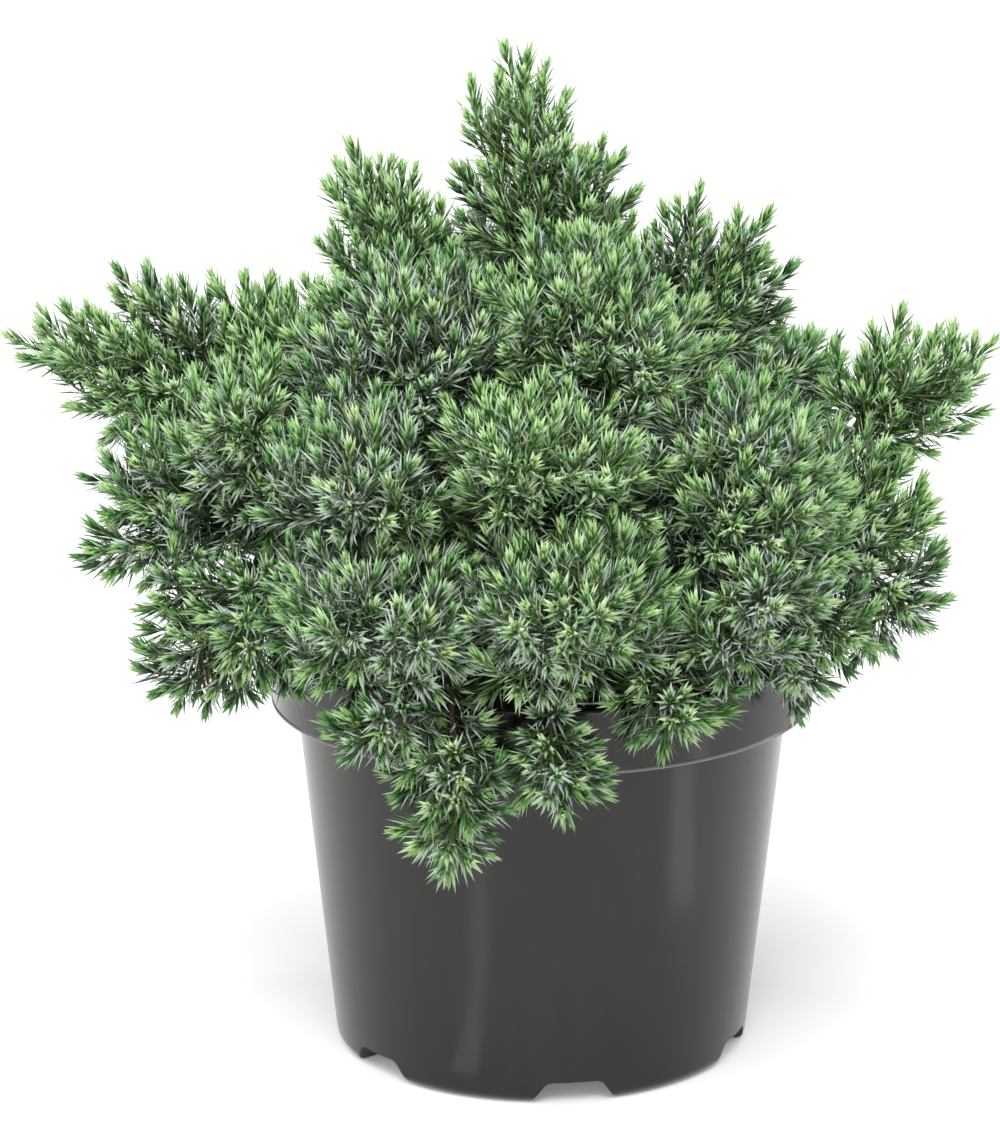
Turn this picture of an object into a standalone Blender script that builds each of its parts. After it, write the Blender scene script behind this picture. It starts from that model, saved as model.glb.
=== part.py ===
"""Dwarf blue juniper in a round nursery pot.

Metres, +Z up, the pot's underside at z = 0 and its middle at the origin. The plant's
front faces -Y. The pot stands on six feet between its drain channels and on the flat
middle of its base. The trunk rises from the soil, a bough grows from it for each mass
of foliage, and each mass is twigs and toothed sprays of needles fused on one stem.
"""
import math
import random

import bmesh
import bpy
from mathutils import Matrix, Vector
from mathutils.bvhtree import BVHTree

MM = 0.001
UP = Vector((0.0, 0.0, 1.0))
FIRST_SIDE = Vector((0.958, -0.287, 0.0))       # where a tube's first corner lies
GOLDEN_ANGLE = math.radians(137.5)
GAP = 0.3 * MM                  # clearance between neighbouring solids

# Pot: a three litre size, injection moulded, turned about Z
POT_SEGMENTS = 36
RIM_RADIUS = 95.0 * MM
RIM_TOP = 146.5 * MM
COLLAR_HEIGHT = 22.5 * MM
COLLAR_DRAFT = 1.2 * MM         # how much narrower the collar is at its lower edge
EDGE = 0.8 * MM                 # the small chamfer on the collar's edges
WALL_TOP_RADIUS = 85.5 * MM     # outside, just under the collar
WALL_FOOT_RADIUS = 72.2 * MM    # outside, carried down to z = 0
CORNER_RADIUS = 4.0 * MM
WALL = 2.0 * MM
FLOOR = 2.6 * MM

# Six channels moulded up into the edge of the base, with a drain hole in each roof
CHANNELS = 6
CHANNEL_AZIMUTH = math.radians(8.5)     # of the one nearest the front, towards +X
CHANNEL_MOUTH = 29.0 * MM               # width at the floor
CHANNEL_ROOF = 19.0 * MM                # width of its flat top
CHANNEL_HEIGHT = 7.5 * MM
CHANNEL_INNER = 47.0 * MM               # distance of its closed end from the middle
CHANNEL_OUTER = 100.0 * MM
DRAIN_HOLE_RADIUS = 3.5 * MM
DRAIN_HOLE_OUT = 59.0 * MM

# Soil: fills the pot to a little below the rim
SOIL_TOP = 136.0 * MM
SOIL_EDGE_DROP = 3.0 * MM
SOIL_FLAT = 16.0 * MM           # radius of the level patch round the trunk
SOIL_SEGMENTS = 18

# Trunk: leaning path up from the soil's middle in millimetres, on to where the crown starts
TRUNK_PATH = ((0, 0, 0), (0.5, 1.0, 20), (2.5, 4, 52), (4, 8, 88))
TRUNK_FOOT_RADIUS = 8.5 * MM
TRUNK_TIP_RADIUS = 2.4 * MM
ROOT_FLARE = 3.6 * MM           # added at the soil
FLARE_HEIGHT = 9.0 * MM
TRUNK_SIDES = 9
TRUNK_RINGS = 7

# Boughs
BOUGH_SIDES = 5
BOUGH_RINGS = 4
BOUGH_TIP_RADIUS = 1.5 * MM
BOUGH_ROOT_SHARE = 0.62         # of the limb it springs from, and no more than the cap
BOUGH_ROOT_CAP = 3.3 * MM
BOUGH_LIFTS = (0.45, 0.2, 0.7, 0.0, 0.95)       # how much a bough rises at first
ROOT_SHIFTS = (0.0, 0.03, -0.03, 0.06, -0.06, 0.09, -0.09, 0.13, -0.13, 0.17)
BARK_SMOOTH = math.radians(50)

# Foliage. A lobe is a part of a mass that has its own tip.
LOBE_MIDDLE = 0.53              # of the way from a lobe's start to its tip
STEM_SIDES = 3
STEM_TIP_RADIUS = 1.0 * MM
STEM_BOW = 0.07                 # sideways, as a share of the lobe's length
STEM_TRIES = 12
NECK_SIDES = 5
NECK = 2.5 * MM                 # from the bough's end to where a mass's stems part
TWIG_SIDES = 3
TWIG_RADIUS = 0.8 * MM
LIFT = 0.12                     # how much shoots turn up towards the light
SPRAY_CORNERS = 4
SPRAY_RINGS = 3
LEADER_RINGS = 4
SPRAY_LENGTH = 52.0 * MM        # the longest spray
SPRAY_SHORTEST = 14.0 * MM
SPRAY_SLIMNESS = 0.28           # radius over the teeth as a share of the length
SPRAY_RADIUS_RANGE = (7.0 * MM, 12.5 * MM)
SPRAY_CORE_SHARE = 0.26         # radius between the teeth as a share of the whole radius
TOOTH_SWEEP = 0.78              # of a ring's spacing, forward
NOTCH_SWEEP = 0.34
SPRAY_ROOT_SUNK = 3.0 * MM
SPRAY_ROOT_SHARE = 0.35         # of its length, where it may meet its neighbours
SPRAY_CLEARANCE = 0.5 * MM
REACH_SHARES = (1.0, 0.86, 0.72, 0.58)
OUTER_SLACK = 1.1               # how far past a lobe's own egg a spray may end
AZIMUTH_TRIES = [math.radians(angle) for angle in (0, 40, -40, 80, -80, 120, -120)]
SIDE_ANGLE_RANGE = (math.radians(78), math.radians(28))    # from the stem's foot to its tip
DENSE_LAST_COSINE = -0.3        # how far round a core its sprays go
CORE_FILLS = (0.50, 0.44, 0.38, 0.32)     # of the free space, the first that fits
OPEN_AREA_PER_SPRAY = 920.0 * MM * MM           # of a lobe's length times its half-width
DENSE_AREA_PER_SPRAY = 760.0 * MM * MM

# Each mass: the limb its bough springs from, how far along that limb, whether it is
# dense, where the bough ends and the mass starts, and for each lobe the furthest tip and
# the half-width. Millimetres from the middle of the pot's underside. The crown's limb is
# the trunk itself, from the ground.
MASSES = {
    "crown": ("ground", 0.0, True, (6, 10, 258), (
        (-14, 15, 352, 27), (21, 0, 323, 25), (-32, 14, 310, 22))),
    "upper_left": ("trunk", 0.70, False, (-42, 10, 246), ((-66, 5, 320, 27), (-40, 5, 301, 24))),
    "upper_right": ("trunk", 0.78, False, (39, 22, 243), (
        (81, 30, 291, 22), (55, 22, 302, 20), (90, 25, 272, 24))),
    "centre_left": ("trunk", 0.58, True, (-35, -20, 223), ((-54, -80, 281, 48),)),
    "centre_top": ("trunk", 0.66, True, (11, -12, 233), ((5, -85, 287, 44), (37, -90, 267, 40))),
    "back_top": ("trunk", 0.62, True, (6, 32, 232), (
        (18, 88, 270, 46), (-32, 84, 270, 46), (-38, 26, 264, 28))),
    "right_arm": ("trunk", 0.38, False, (105, -5, 219), (
        (156, -10, 253, 26), (124, 0, 264, 18), (148, -10, 221, 16))),
    "left_arm": ("trunk", 0.43, False, (-101, 5, 226), (
        (-186, 0, 252, 27), (-149, 12, 275, 25), (-163, -10, 228, 29))),
    "front_right": ("trunk", 0.24, True, (49, -40, 197), ((67, -105, 245, 40), (86, -115, 220, 36))),
    "front_left": ("trunk", 0.19, True, (-48, -65, 185), ((-70, -135, 179, 38), (-38, -145, 182, 34))),
    "front_lower": ("trunk", 0.10, True, (2, -60, 178), ((18, -152, 196, 38), (-11, -150, 190, 36))),
    "front_upper": ("trunk", 0.42, True, (2, -38, 207), ((-15, -135, 243, 38), (18, -130, 232, 36))),
    "left_mid": ("trunk", 0.30, True, (-82, -25, 202), ((-158, -30, 209, 36), (-160, -45, 184, 28))),
    "back_left": ("trunk", 0.24, True, (-55, 45, 214), ((-118, 85, 226, 44), (-76, 120, 214, 46))),
    "back_right": ("trunk", 0.28, True, (60, 50, 210), ((104, 86, 206, 42), (42, 126, 206, 46))),
    "right_shoulder": ("bough_right_arm", 0.42, False, (56, 15, 222), ((102, 15, 239, 20),)),
    "right_side": ("bough_right_arm", 0.62, True, (88, -20, 188), (
        (138, -15, 191, 23), (134, -35, 156, 28), (128, -12, 214, 25))),
    "front_right_low": ("bough_front_right", 0.50, True, (59, -55, 180), (
        (75, -122, 189, 38), (113, -70, 159, 24), (94, -85, 148, 26))),
    "front_low_right": ("bough_front_lower", 0.40, False, (35, -75, 172), ((47, -118, 142, 24),)),
    "hang": ("bough_front_lower", 0.55, False, (-31, -97, 168), (
        (-31, -118, 94, 24), (-67, -112, 133, 24))),
    "hang_right": ("bough_front_lower", 0.75, False, (0, -100, 162), ((7, -118, 114, 22),)),
    "front_left_upper": ("bough_front_left", 0.45, True, (-45, -50, 210), ((-68, -128, 230, 42),)),
    "left_upper": ("bough_left_arm", 0.50, False, (-75, 0, 229), (
        (-116, 12, 272, 22), (-94, 0, 262, 20))),
    "left_front": ("bough_left_mid", 0.60, True, (-79, -30, 219), ((-110, -80, 241, 38),)),
    "left_hang": ("bough_left_mid", 0.50, False, (-85, -45, 183), (
        (-133, -50, 136, 26), (-100, -80, 153, 24), (-138, -50, 167, 26))),
    "back_low_left": ("bough_back_left", 0.45, True, (-52, 74, 178), (
        (-108, 108, 168, 44), (-34, 146, 178, 48))),
    "back_low_right": ("bough_back_right", 0.45, True, (48, 76, 177), (
        (108, 100, 164, 44), (36, 146, 176, 48))),
    "inner_left": ("bough_left_mid", 0.25, True, (-34, 20, 162), (
        (-84, 26, 168, 32), (-30, 62, 166, 34))),
    "inner_right": ("bough_back_right", 0.25, True, (36, 20, 163), (
        (84, 26, 168, 32), (30, 60, 168, 34))),
}


def place(point):
    """A point given in millimetres, in metres."""
    return Vector(point) * MM


def material(name, colour, roughness):
    """A plain principled material."""
    made = bpy.data.materials.new(name)
    made.use_nodes = True
    shader = made.node_tree.nodes["Principled BSDF"]
    shader.inputs["Base Color"].default_value = (*colour, 1.0)
    shader.inputs["Roughness"].default_value = roughness
    made.diffuse_color = (*colour, 1.0)
    return made


def show(name, mesh, finish, smooth_angle=None):
    """Put a mesh in the scene as one named object."""
    mesh.name = name
    mesh.materials.clear()
    mesh.materials.append(finish)
    if smooth_angle is not None:
        mesh.shade_smooth()
        mesh.set_sharp_from_angle(angle=smooth_angle)
    made = bpy.data.objects.new(name, mesh)
    bpy.context.scene.collection.objects.link(made)
    return made


def mesh_from(body):
    """A mesh from a bmesh, which is freed."""
    mesh = bpy.data.meshes.new("shape")
    body.to_mesh(mesh)
    body.free()
    return mesh


def boolean(mesh, operation, operands, solver="EXACT"):
    """A mesh joined with others, or cut by them, in one Boolean on a collection."""
    target = bpy.data.objects.new("target", mesh)
    bpy.context.scene.collection.objects.link(target)
    group = bpy.data.collections.new("operands")
    bpy.context.scene.collection.children.link(group)
    pieces = []
    for operand in operands:
        piece = bpy.data.objects.new("operand", operand)
        piece.hide_render = True
        piece.display_type = "WIRE"
        group.objects.link(piece)
        pieces.append(piece)
    step = target.modifiers.new("join", "BOOLEAN")
    step.operation = operation
    step.operand_type = "COLLECTION"
    step.collection = group
    step.solver = solver
    graph = bpy.context.evaluated_depsgraph_get()
    result = bpy.data.meshes.new_from_object(target.evaluated_get(graph))
    for piece in pieces + [target]:
        bpy.data.objects.remove(piece)
    bpy.data.collections.remove(group)
    return result


def is_closed(mesh):
    """Whether every edge of a mesh joins exactly two faces."""
    body = bmesh.new()
    body.from_mesh(mesh)
    closed = bool(body.faces) and all(edge.is_manifold for edge in body.edges)
    body.free()
    return closed


def largest_shell(mesh):
    """The biggest connected shell of a mesh: scraps go, and sealed hollows are filled."""
    body = bmesh.new()
    body.from_mesh(mesh)
    bmesh.ops.triangulate(body, faces=body.faces)
    unseen = set(body.verts)
    shells = []
    while unseen:
        start = unseen.pop()
        shell = {start}
        front = [start]
        while front:
            for edge in front.pop().link_edges:
                for vert in edge.verts:
                    if vert in unseen:
                        unseen.discard(vert)
                        shell.add(vert)
                        front.append(vert)
        shells.append(shell)
    shells.sort(key=len)
    scraps = [vert for shell in shells[:-1] for vert in shell]
    bmesh.ops.delete(body, geom=scraps, context="VERTS")
    return mesh_from(body)


def turned(profile, segments=POT_SEGMENTS):
    """A closed solid turned about Z from a profile that starts and ends on the axis."""
    body = bmesh.new()
    verts = [body.verts.new((radius, 0.0, height)) for radius, height in profile]
    edges = [body.edges.new(pair) for pair in zip(verts, verts[1:])]
    bmesh.ops.spin(body, geom=verts + edges, axis=UP, cent=(0, 0, 0),
                   angle=math.tau, steps=segments, use_merge=True)
    bmesh.ops.remove_doubles(body, verts=body.verts, dist=0.01 * MM)
    bmesh.ops.recalc_face_normals(body, faces=body.faces)
    return mesh_from(body)


def wall_radius(height, inset=0.0):
    """Radius of the pot's wall at a height, less an inset."""
    share = height / (RIM_TOP - COLLAR_HEIGHT)
    return WALL_FOOT_RADIUS + (WALL_TOP_RADIUS - WALL_FOOT_RADIUS) * share - inset


def corner(radius, height, size, steps=2):
    """Points of a rounded corner between a flat floor and a wall, from wall to floor."""
    points = []
    for step in range(steps + 1):
        angle = math.radians(90) * step / steps
        points.append((radius - size * (1 - math.cos(angle)), height + size * (1 - math.sin(angle))))
    return points


def channel(azimuth, grow):
    """One drain channel as a solid, its faces moved out by the amount given."""
    mouth = CHANNEL_MOUTH / 2 + grow
    roof = CHANNEL_ROOF / 2 + grow
    top = CHANNEL_HEIGHT + grow
    bend = 1.8 * MM
    flare = (mouth - roof) * bend / top
    outline = [(-mouth - flare, -bend), (-roof - flare, top - bend), (-roof + bend, top),
               (roof - bend, top), (roof + flare, top - bend), (mouth + flare, -bend)]
    body = bmesh.new()
    end = [body.verts.new((side, -(CHANNEL_INNER - grow), height)) for side, height in outline]
    face = body.faces.new(end)
    pushed = bmesh.ops.extrude_face_region(body, geom=[face])["geom"]
    moved = [part for part in pushed if isinstance(part, bmesh.types.BMVert)]
    bmesh.ops.translate(body, verts=moved, vec=(0, -(CHANNEL_OUTER - CHANNEL_INNER + grow), 0))
    bmesh.ops.rotate(body, verts=body.verts, cent=(0, 0, 0), matrix=Matrix.Rotation(azimuth, 3, "Z"))
    bmesh.ops.recalc_face_normals(body, faces=body.faces)
    return mesh_from(body)


def channels(grow):
    """All the drain channels."""
    return [channel(CHANNEL_AZIMUTH + math.tau * turn / CHANNELS, grow) for turn in range(CHANNELS)]


def drain_hole(azimuth):
    """A cylinder through the roof of one channel."""
    body = bmesh.new()
    middle = Vector((math.sin(azimuth), -math.cos(azimuth), 0)) * DRAIN_HOLE_OUT
    middle.z = CHANNEL_HEIGHT + WALL / 2
    bmesh.ops.create_cone(body, cap_ends=True, segments=8, radius1=DRAIN_HOLE_RADIUS,
                          radius2=DRAIN_HOLE_RADIUS, depth=3 * WALL,
                          matrix=Matrix.Translation(middle))
    return mesh_from(body)


def make_pot(finish):
    """The pot: thin wall, stepped collar, base with channels and drain holes."""
    collar_foot = RIM_TOP - COLLAR_HEIGHT
    outer = [(0.0, RIM_TOP), (RIM_RADIUS - EDGE, RIM_TOP), (RIM_RADIUS, RIM_TOP - EDGE),
             (RIM_RADIUS - COLLAR_DRAFT, collar_foot + EDGE),
             (RIM_RADIUS - COLLAR_DRAFT - EDGE, collar_foot), (WALL_TOP_RADIUS, collar_foot)]
    outer += corner(wall_radius(CORNER_RADIUS), 0.0, CORNER_RADIUS)
    outer += [(CHANNEL_INNER - 2 * WALL, 0.0), (0.0, 0.0)]
    above = RIM_TOP + 2 * MM
    inner = [(0.0, above), (RIM_RADIUS - WALL, above), (RIM_RADIUS - WALL - COLLAR_DRAFT, collar_foot + WALL),
             (wall_radius(collar_foot, WALL), collar_foot + WALL)]
    inner += corner(wall_radius(CORNER_RADIUS, WALL), FLOOR, CORNER_RADIUS - WALL)
    inner += [(0.0, FLOOR)]
    cavity = boolean(turned(inner), "DIFFERENCE", channels(WALL))
    body = boolean(turned(outer), "DIFFERENCE", channels(0.0))
    body = boolean(body, "DIFFERENCE", [cavity])
    holes = [drain_hole(CHANNEL_AZIMUTH + math.tau * turn / CHANNELS) for turn in range(CHANNELS)]
    body = boolean(body, "DIFFERENCE", holes)
    return show("pot", largest_shell(body), finish, math.radians(35))


def make_soil(finish):
    """The soil, which fills the pot round the channels and is level at the trunk."""
    collar_foot = RIM_TOP - COLLAR_HEIGHT
    inset = WALL + GAP
    edge = RIM_RADIUS - WALL - COLLAR_DRAFT / 2 - 2 * GAP
    ledge = collar_foot + WALL + GAP
    profile = [(0.0, SOIL_TOP), (SOIL_FLAT, SOIL_TOP), (edge * 0.7, SOIL_TOP - SOIL_EDGE_DROP / 2),
               (edge, SOIL_TOP - SOIL_EDGE_DROP), (edge - COLLAR_DRAFT, ledge),
               (wall_radius(collar_foot, inset), ledge)]
    profile += corner(wall_radius(CORNER_RADIUS, inset), FLOOR + GAP, CORNER_RADIUS - WALL)
    profile += [(0.0, FLOOR + GAP)]
    body = boolean(turned(profile, SOIL_SEGMENTS), "DIFFERENCE", channels(WALL + GAP))
    return show("soil", largest_shell(body), finish)


def bezier(points, share):
    """A point on the cubic curve through four control points."""
    rest = 1.0 - share
    weights = (rest ** 3, 3 * rest ** 2 * share, 3 * rest * share ** 2, share ** 3)
    return sum((weight * point for weight, point in zip(weights, points)), Vector())


def smooth_path(points, count):
    """Evenly spread points on the smooth curve through the points given."""
    ends = [2 * points[0] - points[1]] + list(points) + [2 * points[-1] - points[-2]]
    spans = len(points) - 1
    path = []
    for step in range(count):
        position = spans * step / (count - 1)
        span = min(int(position), spans - 1)
        before, start, end, after = ends[span:span + 4]
        controls = (start, start + (end - before) / 6, end - (after - start) / 6, end)
        path.append(bezier(controls, position - span))
    return path


def cross_axes(path, end_axis):
    """Two axes across a path at each of its points, carried along it without twist."""
    result = []
    side = FIRST_SIDE
    for index in range(len(path)):
        before = path[max(index - 1, 0)]
        after = path[min(index + 1, len(path) - 1)]
        along = (after - before).normalized()
        if index == len(path) - 1 and end_axis:
            along = end_axis
        side = (side - along * side.dot(along)).normalized()
        result.append((side, along.cross(side)))
    return result


def tube(path, radii, sides, lobes=None, end_axis=None):
    """A closed tapering tube with flat ends, which may have a lobed cross-section."""
    axes = cross_axes(path, end_axis)
    body = bmesh.new()
    rings = []
    for index, (point, radius) in enumerate(zip(path, radii)):
        side, across = axes[index]
        ring = []
        for corner_index in range(sides):
            angle = math.tau * corner_index / sides
            swell = lobes(index, angle) if lobes else 0.0
            out = side * math.cos(angle) + across * math.sin(angle)
            ring.append(body.verts.new(point + out * (radius + swell)))
        rings.append(ring)
    for lower, upper in zip(rings, rings[1:]):
        for index in range(sides):
            following = (index + 1) % sides
            body.faces.new((lower[index], lower[following], upper[following], upper[index]))
    body.faces.new(rings[0][::-1])
    body.faces.new(rings[-1])
    bmesh.ops.recalc_face_normals(body, faces=body.faces)
    return mesh_from(body)


class Limb:
    """A trunk or bough: its centre line, radius along it, and mesh."""

    def __init__(self, path, radii, sides, lobes=None, end_axis=None):
        self.path = path
        self.radii = radii
        self.sides = sides
        self.lobes = lobes
        self.end_axis = end_axis
        self.mesh = self.grown(0.0)

    def at(self, share):
        """Centre point and radius at a share of the limb's length."""
        position = share * (len(self.path) - 1)
        span = min(int(position), len(self.path) - 2)
        rest = position - span
        point = self.path[span].lerp(self.path[span + 1], rest)
        return point, self.radii[span] * (1 - rest) + self.radii[span + 1] * rest

    def grown(self, amount):
        """The limb's solid with its surface moved out."""
        radii = [radius + amount for radius in self.radii]
        return tube(self.path, radii, self.sides, self.lobes, self.end_axis)


def make_trunk(crown):
    """The trunk: leaning, tapering, with its root flare cut flat at the soil."""
    foot = Vector((0, 0, SOIL_TOP + GAP))
    guide = [foot + place(point) for point in TRUNK_PATH] + [crown.start]
    path = smooth_path(guide, TRUNK_RINGS)
    foot_ring = [foot, foot + Vector((0, 0, FLARE_HEIGHT / 3)), foot + Vector((0, 0, FLARE_HEIGHT))]
    path = foot_ring + path[1:]
    radii = []
    for point in path:
        share = (point.z - foot.z) / (path[-1].z - foot.z)
        radii.append(TRUNK_FOOT_RADIUS + (TRUNK_TIP_RADIUS - TRUNK_FOOT_RADIUS) * share ** 0.8)

    def flare(index, angle):
        height = (path[index].z - foot.z) / FLARE_HEIGHT
        return ROOT_FLARE * max(0.0, 1 - height) ** 1.5 * (0.6 + 0.4 * math.cos(3 * angle + 0.7))

    return Limb(path, radii, TRUNK_SIDES, flare, crown.axis)


def bough_limb(parent, share, lift, end, axis):
    """A tapering bough from inside its parent to a flat cut at the end, facing the axis."""
    root, parent_radius = parent.at(share)
    reach = (end - root).length
    away = (end - root).normalized()
    rise = Vector((away.x, away.y, away.z + lift)).normalized()
    controls = (root, root + rise * reach * 0.35, end - axis * reach * 0.3, end)
    path = [bezier(controls, step / (BOUGH_RINGS - 1)) for step in range(BOUGH_RINGS)]
    root_radius = min(BOUGH_ROOT_CAP, parent_radius * BOUGH_ROOT_SHARE)
    radii = []
    for step in range(BOUGH_RINGS):
        radii.append(root_radius + (BOUGH_TIP_RADIUS - root_radius) * step / (BOUGH_RINGS - 1))
    return Limb(path, radii, BOUGH_SIDES, end_axis=axis)


def clear_bough(parent_node, parent, share, mass, around):
    """The bough of a mass, its root moved a little and its rise changed to pass the others."""
    for shift in ROOT_SHIFTS:
        for lift in BOUGH_LIFTS:
            limb = bough_limb(parent, share + shift, lift, mass.start, mass.axis)
            if not around.touched(limb.grown(2 * GAP), parent_node):
                limb.mesh = largest_shell(boolean(limb.mesh, "DIFFERENCE", [parent.grown(GAP)]))
                return limb
    raise ValueError("no clear way for the bough of " + mass.name)


class Lobe:
    """The egg-shaped space round the line from a mass's start to one of its tips."""

    def __init__(self, mass, start, tip, half_width):
        self.mass = mass
        self.start = start
        self.tip = tip
        self.half_width = half_width
        self.length = (tip - start).length
        self.axis = (tip - start).normalized()
        self.middle = start.lerp(tip, LOBE_MIDDLE)
        self.half_length = self.length * (1 - LOBE_MIDDLE)

    def depth(self, point):
        """Nought in the middle of the space and one on its surface."""
        offset = point - self.middle
        along = offset.dot(self.axis)
        out = (offset - self.axis * along).length
        return math.hypot(along / self.half_length, out / self.half_width)

    def way(self, lean, azimuth):
        """A direction at an angle from the lobe's axis, turned about it."""
        side = self.axis.orthogonal().normalized()
        across = self.axis.cross(side)
        out = side * math.cos(azimuth) + across * math.sin(azimuth)
        return (self.axis * math.cos(lean) + out * math.sin(lean) + UP * LIFT).normalized()


def tree_of(mesh):
    """A search tree of a mesh's faces."""
    points = [vert.co.copy() for vert in mesh.vertices]
    faces = [tuple(face.vertices) for face in mesh.polygons]
    return BVHTree.FromPolygons(points, faces)


class Surroundings:
    """The spaces of all the masses, and the solids that a twig or spray keeps clear of."""

    def __init__(self):
        self.lobes = []
        self.solids = {}

    def owned(self, lobe, point, slack):
        """Whether a point lies in a lobe, and no other mass has a better claim to it."""
        claim = lobe.depth(point)
        if claim > slack:
            return False
        return all(claim <= other.depth(point) for other in self.lobes if other.mass != lobe.mass)

    def reach(self, lobe, point, way, slack=1.02):
        """How far one can go from a point before leaving the lobe's own space."""
        step = 1.0 * MM
        length = 0.0
        while self.owned(lobe, point + way * (length + step), slack):
            length += step
        return length

    def touched(self, mesh, own):
        """Whether a mesh touches any solid but its own mass."""
        tree = tree_of(mesh)
        return any(solid.overlap(tree) for name, solid in self.solids.items() if name != own)


def spray(start, end, radius, rings, turn, grow=0.0):
    """A closed spindle of needles: rings of teeth swept forward from a slim core."""
    way = (end - start).normalized()
    length = (end - start).length + grow
    side = way.orthogonal().normalized()
    across = way.cross(side)
    body = bmesh.new()
    root = body.verts.new(start - way * grow)
    tip = body.verts.new(start + way * length)
    spacing = length / (rings + 0.6)
    loops = []
    for ring in range(rings):
        swell = 0.72 + 0.28 * math.sin(math.pi * (ring + 0.7) / rings)
        loop = []
        for index in range(SPRAY_CORNERS):
            tooth = (index + ring) % 2 == 0
            angle = turn + math.tau * index / SPRAY_CORNERS
            out = radius * (swell if tooth else SPRAY_CORE_SHARE)
            forward = spacing * (ring + (TOOTH_SWEEP if tooth else NOTCH_SWEEP))
            point = start + way * forward
            point += (side * math.cos(angle) + across * math.sin(angle)) * (out + grow)
            loop.append(body.verts.new(point))
        loops.append(loop)
    for index in range(SPRAY_CORNERS):
        following = (index + 1) % SPRAY_CORNERS
        body.faces.new((root, loops[0][following], loops[0][index]))
        body.faces.new((loops[-1][index], loops[-1][following], tip))
        for lower, upper in zip(loops, loops[1:]):
            body.faces.new((lower[index], lower[following], upper[index]))
            body.faces.new((lower[following], upper[following], upper[index]))
    bmesh.ops.recalc_face_normals(body, faces=body.faces)
    return mesh_from(body)


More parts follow.
